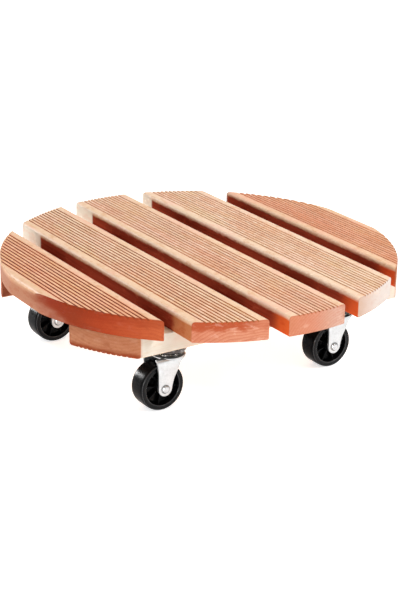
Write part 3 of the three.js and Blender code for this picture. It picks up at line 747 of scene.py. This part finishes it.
def plate_mesh():
    h, c = 21.0, 4.0
    pts = []
    for sx, sy, a0 in ((1, 1, 0), (-1, 1, 90), (-1, -1, 180), (1, -1, 270)):
        pts += arc(sx * (h - c), sy * (h - c), c, a0, a0 + 90, 9)
    o = temp(*prism(pts, 58, 60, "Z"))
    bevelled(o, 0.4)
    boolean(o, temp(*lathe([(0, 50), (15.2, 50), (15.2, 70), (0, 70)], 72)), "DIFFERENCE")
    ring = [(4.4, 51.35), (4.6, 51.2), (14.7, 51.2), (15.25, 51.3), (15.6, 51.6), (15.76, 52.1), (16.3, 56.7), (16.5, 57.35), (16.85, 57.8), (17.25, 58.06),
            (17.4, 58.6), (16.4, 59.7), (14.7, 59.7), (14.45, 58.4), (13.9, 53.5), (13.4, 53.0), (4.6, 53.0), (4.4, 52.85)]
    boolean(o, temp(*lathe(ring, 72, closed=True)), "UNION")
    for x in (15, -15):
        for y in (15, -15):
            v, f = lathe([(0, 50), (2.3, 50), (2.3, 70), (0, 70)], 28)
            boolean(o, temp([(a + x, b + y, d) for a, b, d in v], f), "DIFFERENCE")
    return finished(o, "plate", 33)


def ball_ring_mesh():
    o = temp(*lathe([(11.15, 48.85), (11.3, 48.75), (13.1, 48.75), (13.25, 48.85), (13.25, 49.55), (13.1, 49.65), (11.3, 49.65), (11.15, 49.55)], 96, closed=True))
    v, f = [], []
    count, br = 18, 1.7
    prof = [(br * math.sin(rad(a)) if 0 < a < 180 else 0, -br * math.cos(rad(a))) for a in range(0, 181, 15)]
    bv, bf = lathe(prof, 20)
    for k in range(count):
        a = 2 * math.pi * k / count
        base = len(v)
        v += [(x + 12.2 * math.cos(a), y + 12.2 * math.sin(a), z + 49.2) for x, y, z in bv]
        f += [tuple(i + base for i in q) for q in bf]
    boolean(o, temp(v, f), "UNION")
    return finished(o, "ball_ring", 40)


def pin_mesh():
    prof = [(0, 42.6), (2.0, 42.66), (3.6, 42.9), (4.9, 43.35), (5.7, 43.85), (6.1, 44.35), (6.2, 44.8), (6.08, 44.97), (5.9, 45.0), (4.05, 45.0), (4.0, 45.1),
            (4.0, 53.2), (4.1, 53.3), (6.3, 53.3), (6.6, 53.6), (6.6, 54.4), (6.2, 55.3), (5.2, 56.0), (3.4, 56.35), (0, 56.4)]
    return mesh_from("king_pin", *lathe(prof, 56), sharp=33)


def axle_mesh():
    half = [(0, 14.2), (1.2, 14.19), (2.1, 14.12), (2.6, 13.98), (2.9, 13.74), (3.04, 13.40), (3.08, 13.12), (3.2, 13.04), (3.6, 13.04), (3.82, 12.99), (3.88, 12.95), (3.86, 12.9), (3.05, 12.9), (3.0, 12.8), (3.0, 5.0)]
    prof = half + [(r, -x) for r, x in reversed(half)]
    v, f = lathe([(r, x) for r, x in prof], 56, "X")
    return mesh_from("axle", v, f, sharp=40)


def cross_cutter(z_mouth, depth, reach, width):
    """A cross-shaped recess, wide at the mouth and tapering upwards into the head."""
    v, f = [], []
    for turn in (0, 90):
        base = len(v)
        ca, sa = math.cos(rad(turn)), math.sin(rad(turn))
        for z, k, wd in ((z_mouth - 1.0, 1.12, 1.15), (z_mouth + depth * 0.55, 0.72, 0.85), (z_mouth + depth, 0.30, 0.7)):
            for x, y in ((-reach * k, -width * wd), (reach * k, -width * wd), (reach * k, width * wd), (-reach * k, width * wd)):
                v.append((x * ca - y * sa, x * sa + y * ca, z + (0.003 if turn else 0)))
        for q in range(2):
            for j in range(4):
                a, b = base + q * 4 + j, base + q * 4 + (j + 1) % 4
                f.append((a, b, b + 4, a + 4))
        f.append(tuple(base + j for j in (3, 2, 1, 0)))
        f.append(tuple(base + 8 + j for j in range(4)))
    return v, f


def threaded(profile_low, core, crest, z0, z1, pitch, tip, sides=28):
    """Head profile, then a shank with a helical thread that fades out at both ends, then a point."""
    v, f = [], []
    rings = []

    def ring(fn):
        r = []
        for k in range(sides):
            a = 2 * math.pi * k / sides
            rad_, z = fn(a)
            v.append((rad_ * math.cos(a), rad_ * math.sin(a), z))
            r.append(len(v) - 1)
        rings.append(r)

    v.append((0, 0, profile_low[0][1]))
    for r0, h in profile_low[1:]:
        ring(lambda a, r0=r0, h=h: (r0, h))
    steps = int((z1 - z0) / pitch * 8)
    for i in range(steps + 1):
        z = z0 + (z1 - z0) * i / steps

        def fn(a, z=z):
            ph = (z / pitch - a / (2 * math.pi)) % 1.0
            tooth = max(0.0, 1 - abs(ph - 0.5) / 0.26)
            fade = hermite(min(1, (z - z0) / (pitch * 1.5))) * hermite(min(1, (z1 - z) / (pitch * 1.5)))
            taper = 1 if z < z1 - 4 else 1 - 0.35 * (z - z1 + 4) / 4
            return (core + (crest - core) * tooth * fade) * taper, z
        ring(fn)
    v.append((0, 0, tip))
    first, last = 0, len(v) - 1
    for k in range(sides):
        k2 = (k + 1) % sides
        f.append((first, rings[0][k2], rings[0][k]))
        f.append((rings[-1][k], rings[-1][k2], last))
    for a, b in zip(rings, rings[1:]):
        for k in range(sides):
            k2 = (k + 1) % sides
            f.append((a[k], a[k2], b[k2], b[k]))
    return v, f


def cut_bars(o, v, f):
    """Cuts the two bars of a cross recess one after the other, since together they pass through each other."""
    for n in (0, 1):
        bar = [tuple(i - 12 * n for i in q) for q in f[10 * n:10 * n + 10]]
        boolean(o, temp(v[12 * n:12 * n + 12], bar), "DIFFERENCE")


def plate_screw_mesh():
    head = [(0, 55.7), (0.8, 55.71), (1.7, 55.82), (2.6, 56.08), (3.25, 56.45), (3.6, 56.9), (3.7, 57.35), (3.62, 57.62), (3.45, 57.7), (1.85, 57.7), (1.75, 57.85)]
    o = temp(*threaded(head, 1.35, 1.85, 58.2, 71.0, 1.6, 73.0))
    v, f = cross_cutter(55.7, 1.5, 1.9, 0.42)
    cut_bars(o, v, f)
    return finished(o, "plate_screw", 30)


def slat_screw_mesh():
    head = [(0, 60.5), (1.2, 60.5), (2.6, 60.5), (3.7, 60.52), (3.86, 60.6), (3.9, 60.8), (3.84, 61.05), (2.1, 62.9), (1.9, 63.3)]
    o = temp(*threaded(head, 1.4, 1.9, 64.2, 86.0, 1.8, 88.0))
    v, f = cross_cutter(60.5, 1.7, 2.0, 0.45)
    cut_bars(o, v, f)
    return finished(o, "slat_screw", 30)


# ------------------------------------------------------------------ camera, first
EL, AZ, ROLL = rad(21.081), rad(-33.773), rad(1.066)
DIST, FOCAL_PX, CX, CY = 1370.82, 1549.362, 0.865, -45.508
back = Vector((math.cos(EL) * math.cos(AZ), math.cos(EL) * math.sin(AZ), math.sin(EL)))
right = Vector((-math.sin(AZ), math.cos(AZ), 0))
up = back.cross(right)
r2 = math.cos(ROLL) * right + math.sin(ROLL) * up
u2 = -math.sin(ROLL) * right + math.cos(ROLL) * up
eye = (back * DIST + r2 * CX + u2 * CY + Vector((0, 0, TOP))) * MM
cam_data = bpy.data.cameras.new("camera")
cam_data.sensor_width = 36
cam_data.lens = FOCAL_PX * 36 / 600
cam_data.clip_start, cam_data.clip_end = 0.05, 50
cam = bpy.data.objects.new("camera", cam_data)
scene.collection.objects.link(cam)
cam.matrix_world = Matrix(((r2.x, u2.x, back.x, eye.x), (r2.y, u2.y, back.y, eye.y), (r2.z, u2.z, back.z, eye.z), (0, 0, 0, 1)))
scene.camera = cam

# ------------------------------------------------------------------ boards
# painted shade for the slat walls inside the gaps, and painted light for the walls where the gaps open
GAP_WALL_PAINTED_SHADE = tint(lin(115, 36, 20, 1.40), 1.10, 1.60, 1.85)
GAP_END_PAINTED_LIGHT = lin(213, 200, 184, 1.20)
TIMBER = {
    # slat_outer_left: its end stops from v=-28 to v=-4 are very dark, partly the redder end grain and partly painted
    # shade on the middle of the rim
    "slat_outer_left": dict(seed=11, wide=0.20, rib=(0.765, 0.427, 0.250), margin=(0.73, 0.475, 0.315), groove=(0.300, 0.055, 0.013),
                            ends=[(-28, (0.25, 0.031, 0.010)), (-17, (0.255, 0.037, 0.012)), (-4, (0.376, 0.052, 0.016)), (28, (0.49, 0.108, 0.039))], end_dark=(0.24, 0.026, 0.008), end_ring=0.35, crust=0.35, bleach=0.06,
                            pale=((0.435, 0.200, 0.122), 0.0, 56.0), walls=GAP_WALL_PAINTED_SHADE, wall_left_painted_light=GAP_END_PAINTED_LIGHT, wall_right_painted_light=(0.62, 0.16, 0.05), pith=(10, -52), spacing=3.0),
    "slat_inner_left": dict(seed=23, wide=0.30, rib=(0.79, 0.56, 0.385), margin=(0.74, 0.510, 0.345), groove=(0.350, 0.105, 0.034),
                            ends=[(-28, (0.55, 0.205, 0.118)), (4, (0.56, 0.236, 0.140)), (28, (0.55, 0.228, 0.135))], end_dark=(0.38, 0.068, 0.025), end_ring=0.80, crust=0.95, start=108.0,
                            walls=GAP_WALL_PAINTED_SHADE, wall_left_painted_light=GAP_END_PAINTED_LIGHT, wall_right_painted_light=(0.44, 0.152, 0.060), glow=(113.0, 119.0), pith=(13, -62), spacing=2.5),
    "slat_middle": dict(seed=37, rib=(0.77, 0.52, 0.366), margin=(0.75, 0.525, 0.360), groove=(0.390, 0.125, 0.044),
                        ends=[(-28, (0.50, 0.190, 0.105)), (-4, (0.52, 0.220, 0.140)), (8, (0.50, 0.270, 0.190)), (20, (0.53, 0.330, 0.255)), (28, (0.49, 0.270, 0.195))],
                        end_dark=(0.42, 0.10, 0.045), end_ring=0.60, crust=0.0, walls=GAP_WALL_PAINTED_SHADE, wall_left_painted_light=GAP_END_PAINTED_LIGHT, wall_right_painted_light=(0.62, 0.100, 0.024),
                        glow=(146.0, 162.0), start=141.0, pith=(26, -30), spacing=2.4),
    "slat_inner_right": dict(seed=41, rib=(0.80, 0.595, 0.435), margin=(0.77, 0.560, 0.405), groove=(0.420, 0.165, 0.070),
                             ends=[(-28, (0.47, 0.320, 0.240)), (-14, (0.53, 0.410, 0.345)), (-2, (0.56, 0.485, 0.435)), (28, (0.58, 0.520, 0.475))], end_dark=(0.50, 0.27, 0.20), end_ring=0.16,
                             walls=GAP_WALL_PAINTED_SHADE, wall_left_painted_light=GAP_END_PAINTED_LIGHT, wall_right_painted_light=(0.60, 0.100, 0.026), glow=(140.0, 164.0), start=152.0, pith=(14, 74), spacing=3.0),
    "slat_outer_right": dict(seed=59, rim_side=1, rib=(0.72, 0.392, 0.246), margin=(0.74, 0.490, 0.320), groove=(0.430, 0.130, 0.044),
                             ends=[(-28, (0.35, 0.125, 0.066)), (-12, (0.60, 0.410, 0.330)), (0, (0.53, 0.350, 0.250)), (14, (0.58, 0.370, 0.260)), (28, (0.62, 0.400, 0.270))], end_dark=(0.36, 0.12, 0.06), end_ring=0.35, bleach=0.15,
                             walls=GAP_WALL_PAINTED_SHADE, wall_left_painted_light=GAP_END_PAINTED_LIGHT, wall_right_painted_light=(0.62, 0.085, 0.022), glow=(98.0, 122.0), start=128.0, pith=(-18, -60), spacing=3.0),
    "batten_front": dict(seed=67, rib=(0.74, 0.50, 0.35), margin=(0.76, 0.58, 0.40), groove=(0.30, 0.11, 0.05),
                         ends=[(-28, (0.44, 0.185, 0.096)), (28, (0.43, 0.165, 0.082))], end_dark=(0.22, 0.044, 0.015), end_ring=0.45, crust=0.20, bleach=0.10,
                         walls=(0.605, 0.545, 0.462), pith=(0, 80), spacing=2.8),
    "batten_rear": dict(seed=71, rib=(0.72, 0.47, 0.32), margin=(0.74, 0.54, 0.36), groove=(0.29, 0.11, 0.05),
                        ends=[(-28, (0.50, 0.20, 0.105)), (28, (0.48, 0.18, 0.090))], end_dark=(0.34, 0.09, 0.035), end_ring=0.45, crust=0.25,
                        walls=(0.74, 0.50, 0.34), inner_wall_painted_shade=(0.205, 0.058, 0.028), pith=(-8, 72), spacing=2.8),
}


def mark(me, across, flip):
    """Groove, arris and sawn weights from position alone, for a board whose mesh was cut."""
    co = np.zeros(len(me.vertices) * 3)
    me.vertices.foreach_get("co", co)
    co = co.reshape(-1, 3) / MM
    b = (co[:, 0] if flip else co[:, 1]) - across
    h = (BATTEN_Z + T - co[:, 2]) if flip else (co[:, 2] - SLAT_Z)
    ribbed = (np.abs(b) < 22.5) & (h > T - 1.5)
    groove = np.where(ribbed, np.clip((T - h) / GDEPTH, 0, 1), 0)
    arris = np.clip((np.abs(b) - 25.4) / 2.6, 0, 1) * (h > T - 3)
    sawn = np.clip((np.hypot(co[:, 0], co[:, 1]) - (R - 0.45)) / 0.25, 0, 1)
    for label, val in (("groove", groove), ("arris", arris), ("sawn", sawn)):
        a = me.attributes.get(label) or me.attributes.new(label, "FLOAT", "POINT")
        a.data.foreach_set("value", val.astype(np.float32))


boards = {}
for i, name in enumerate(SLATS):
    yc = (i - 2) * PITCH
    me = build_board(name + "_timber", yc, 100 + i, False)
    mark(me, yc, False)
    o = new_object(name + "_timber", me)
    me.materials.append(timber(name + "_wood", "X", yc, SLAT_Z, **TIMBER[name]))
    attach(o, "root")
    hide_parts(name)
    boards[name] = o

for name, s in (("batten_front", 1), ("batten_rear", -1)):
    me = build_board(name + "_timber", s * BATTEN_X, 120 + s, True)
    o = new_object(name + "_timber", me)
    cv, cf = [], []
    for y in SCREW_Y:
        v, f = lathe([(0, 56), (4.25, 56), (4.25, 60.7), (4.15, 61.2), (2.4, 63.0), (2.4, 68.0), (0, 68.0)], 36)
        base = len(cv)
        cv += [(a + s * BATTEN_X, b + y, c) for a, b, c in v]
        cf += [tuple(q + base for q in face) for face in f]
    boolean(o, temp(cv, cf), "DIFFERENCE")
    mark(o.data, s * BATTEN_X, True)
    o.data.shade_smooth()
    o.data.set_sharp_from_angle(angle=rad(50))
    o.data.name = name + "_timber"
    o.data.materials.clear()
    o.data.materials.append(timber(name + "_wood", "Y", s * BATTEN_X, BATTEN_Z, flip=True, **TIMBER[name]))
    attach(o, "root")
    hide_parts(name)
    boards[name] = o

# ------------------------------------------------------------------ casters and screws
mat_black = black_plastic()
mat_fork = zinc("bright_zinc_fork", tone=(0.50, 0.505, 0.505), dull=(0.415, 0.42, 0.42), rough=(0.28, 0.40))
# the seat of the plate pressing carries painted shade below the height given by seat
mat_plate = zinc("bright_zinc_plate", tone=(0.46, 0.465, 0.465), dull=(0.34, 0.34, 0.34), rough=(0.20, 0.34), seat=(57.9, 57.2))
mat_rivet = zinc("zinc_rivet", tone=(0.84, 0.845, 0.85), dull=(0.60, 0.61, 0.62), rough=(0.20, 0.32))
mat_axle = zinc("zinc_axle_rivet", tone=(0.48, 0.485, 0.49), dull=(0.40, 0.405, 0.41), rough=(0.20, 0.32), step=(2.95, 3.12))
# the balls are very dark steel with dark patches: partly grease, partly painted shade for the swivel band under the
# deck
mat_ball = zinc("greased_ball_steel_painted_shade", tone=(0.12, 0.115, 0.11), dull=(0.05, 0.045, 0.04), rough=(0.10, 0.20), grease_and_painted_shade=0.95)
mat_screw = zinc("zinc_screw", tone=(0.80, 0.79, 0.76), dull=(0.55, 0.54, 0.51), rough=(0.25, 0.40))

M = {"wheel": wheel_mesh(), "fork": fork_mesh(), "plate": plate_mesh(), "ring": ball_ring_mesh(), "pin": pin_mesh(), "axle": axle_mesh(),
     "pscrew": plate_screw_mesh(), "sscrew": slat_screw_mesh()}
for key, m in (("wheel", mat_black), ("fork", mat_fork), ("plate", mat_plate), ("ring", mat_ball), ("pin", mat_rivet), ("axle", mat_axle), ("pscrew", mat_screw), ("sscrew", mat_screw)):
    M[key].materials.clear()
    M[key].materials.append(m)


def piece(mesh, name, at, body, node, turn=(0, 0, 0)):
    o = new_object(name, mesh)
    o.matrix_world = Matrix.Translation(Vector(at) * MM) @ Matrix.Rotation(turn[2], 4, "Z") @ Matrix.Rotation(turn[0], 4, "X")
    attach(o, body)
    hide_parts(node)
    return o


SPIN = {"front_left": 36.5, "front_right": 17.5, "rear_left": 26.0, "rear_right": 9.0}


def spun(mesh, name, degrees):
    """A copy of the wheel turned about its axle, with the turn in the mesh itself."""
    me = mesh.copy()
    me.name = name
    me.transform(Matrix.Rotation(rad(degrees), 4, "X"))
    return me


for k, (c, (x, y)) in enumerate(CASTERS.items()):
    piece(M["plate"], c + "_plate_pressing", (x, y, 0), "root", c + "_caster_plate")
    piece(M["pin"], c + "_pin_rivet", (x, y, 0), "root", c + "_king_pin")
    piece(M["ring"], c + "_ball_race", (x, y, 0), "root", c + "_ball_ring")
    piece(M["fork"], c + "_fork_pressing", (x, y, 0), c + "_swivel", c + "_fork")
    piece(M["axle"], c + "_axle_rivet", (x, y - TRAIL, AXLE_Z), c + "_swivel", c + "_axle")
    piece(spun(M["wheel"], c + "_wheel", SPIN[c]), c + "_wheel_moulding", (x, y - TRAIL, AXLE_Z), c + "_roller", c + "_wheel")
    for i, (hx, hy) in enumerate(((15, 15), (-15, 15), (-15, -15), (15, -15))):
        piece(M["pscrew"], f"{c}_plate_screw_{i + 1}_head", (x + hx, y + hy, 0), "root", f"{c}_plate_screw_{i + 1}", turn=(0, 0, rad(17 + 53 * i + 31 * k)))
for li, (label, s) in enumerate((("front", 1), ("rear", -1))):
    for i, y in enumerate(SCREW_Y):
        piece(M["sscrew"], f"slat_screw_{label}_{i + 1}_threaded", (s * BATTEN_X, y, 0), "root", f"slat_screw_{label}_{i + 1}", turn=(0, 0, rad(9 + 41 * i + 23 * li)))

# ------------------------------------------------------------------ floor, light
fv, ff = [], []
nf = 24
for i in range(nf + 1):
    for j in range(nf + 1):
        fv.append((-8 + 16 * i / nf, -8 + 16 * j / nf, -0.0002))
for i in range(nf):
    for j in range(nf):
        a = i * (nf + 1) + j
        ff.append((a, a + nf + 1, a + nf + 2, a + 1))
fm = bpy.data.meshes.new("floor")
fm.from_pydata(fv, [], ff)
floor = new_object("floor", fm)
N = Nodes("pale_floor")
fo = N.n("TexCoord").outputs["Object"]
floor_p = N.principled(Base_Color=N.mix(N.noise(fo, 3.0, 2.0), (0.865, 0.88, 0.895), (0.875, 0.89, 0.90)), Roughness=0.75)
floor_p.inputs["Emission Color"].default_value = (0.99, 0.995, 1.0, 1)
floor_p.inputs["Emission Strength"].default_value = 0.62
fm.materials.append(N.mat)

world = bpy.data.worlds.new("studio")
scene.world = world
world.use_nodes = True
bg = world.node_tree.nodes["Background"]
bg.inputs[0].default_value = (1.0, 1.0, 1.0, 1)
bg.inputs[1].default_value = 0.70


def softbox(name, direction, distance, size, power, colour=(1, 1, 1)):
    d = bpy.data.lights.new(name, "AREA")
    d.shape = "DISK"
    d.size = size
    d.energy = power
    d.color = colour
    o = bpy.data.objects.new(name, d)
    scene.collection.objects.link(o)
    aim = Vector((0, 0, 0.06))
    o.location = aim + Vector(direction).normalized() * distance
    o.rotation_mode = "QUATERNION"
    o.rotation_quaternion = Vector(direction).to_track_quat("Z", "Y")
    return o


softbox("key", (0.62, 0.30, 0.80), 2.6, 1.3, 54)
glint = softbox("left_glint", (-0.88, -0.47, 0.31), 1.7, 0.62, 190)
glint.visible_diffuse = False
glint = softbox("front_glint", (0.37, -0.91, 0.19), 1.8, 0.44, 95)
glint.visible_diffuse = False

scene.view_settings.view_transform = "Standard"
scene.view_settings.look = "None"
scene.view_settings.exposure = 0.0
scene.view_settings.gamma = 1.0

for m in [m for m in bpy.data.meshes if m.users == 0]:
    bpy.data.meshes.remove(m)
